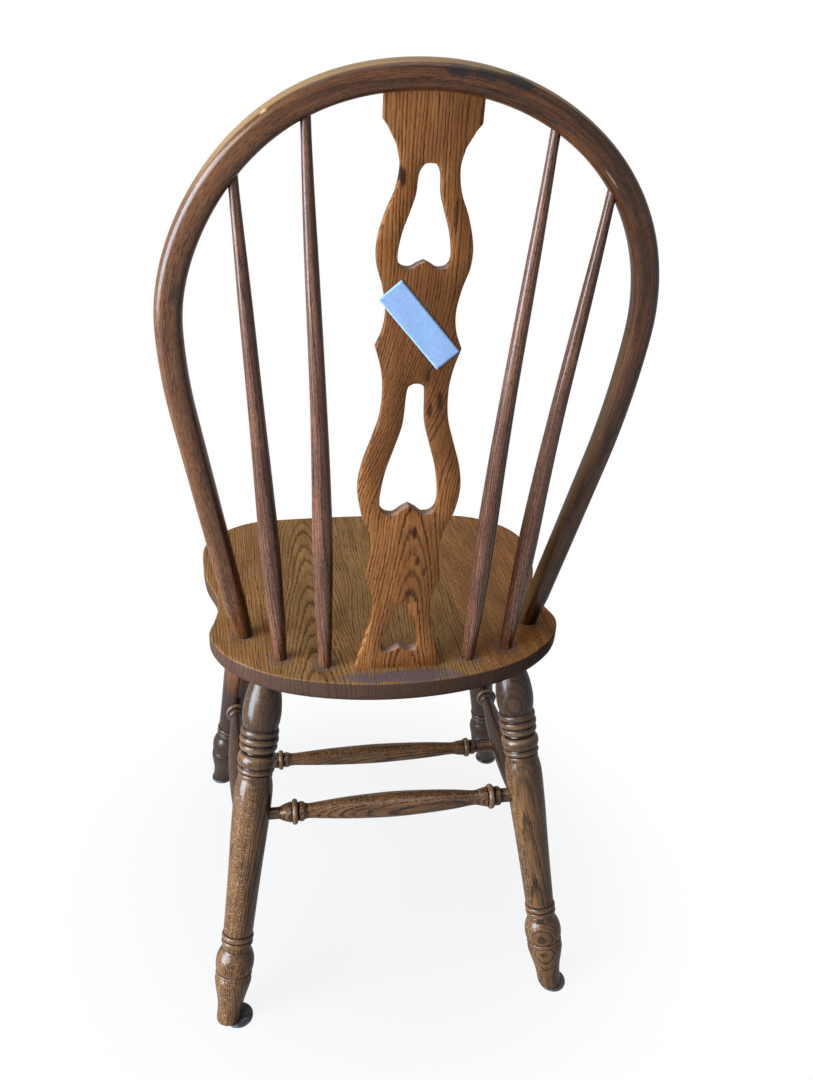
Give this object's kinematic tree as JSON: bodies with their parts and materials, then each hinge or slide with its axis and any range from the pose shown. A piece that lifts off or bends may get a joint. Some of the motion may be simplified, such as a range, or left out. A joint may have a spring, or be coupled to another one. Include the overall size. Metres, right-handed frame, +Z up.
{
  "type": "bow-back side chair in varnished oak",
  "caption": "Bow-back oak side chair with a pierced fretted splat between tapered spindles, a shield-shaped dished seat and splayed turned legs joined by turned stretchers.",
  "frame": {"origin": "on the floor, under the middle of the chair's bounding box", "axes": "+X to the sitter's left, +Y to the back of the chair, +Z up; the sitter faces -Y"},
  "size_m": [0.48, 0.4886, 1.0556],
  "materials": {
    "seat_oak": "olive-brown oak boards under worn satin varnish",
    "bow_oak": "dark red-brown oak under gloss varnish",
    "splat_oak": "orange-brown plain-sawn oak with dark grain under gloss varnish",
    "turned_oak": "brown turned oak with golden grain under gloss varnish",
    "pad_rubber": "smooth black, worn"
  },
  "bodies": {
    "root": {"seat": "seat_oak", "bow": "bow_oak", "splat": "splat_oak", "spindle_outer_left": "turned_oak", "spindle_inner_left": "turned_oak", "spindle_inner_right": "turned_oak", "spindle_outer_right": "turned_oak", "leg_front_left": "turned_oak", "leg_front_right": "turned_oak", "leg_rear_left": "turned_oak", "leg_rear_right": "turned_oak", "side_stretcher_left": "turned_oak", "side_stretcher_right": "turned_oak", "middle_stretcher": "turned_oak", "rear_stretcher": "turned_oak", "foot_pad_front_left": "pad_rubber", "foot_pad_front_right": "pad_rubber", "foot_pad_rear_left": "pad_rubber", "foot_pad_rear_right": "pad_rubber"}
  },
  "joints": []
}
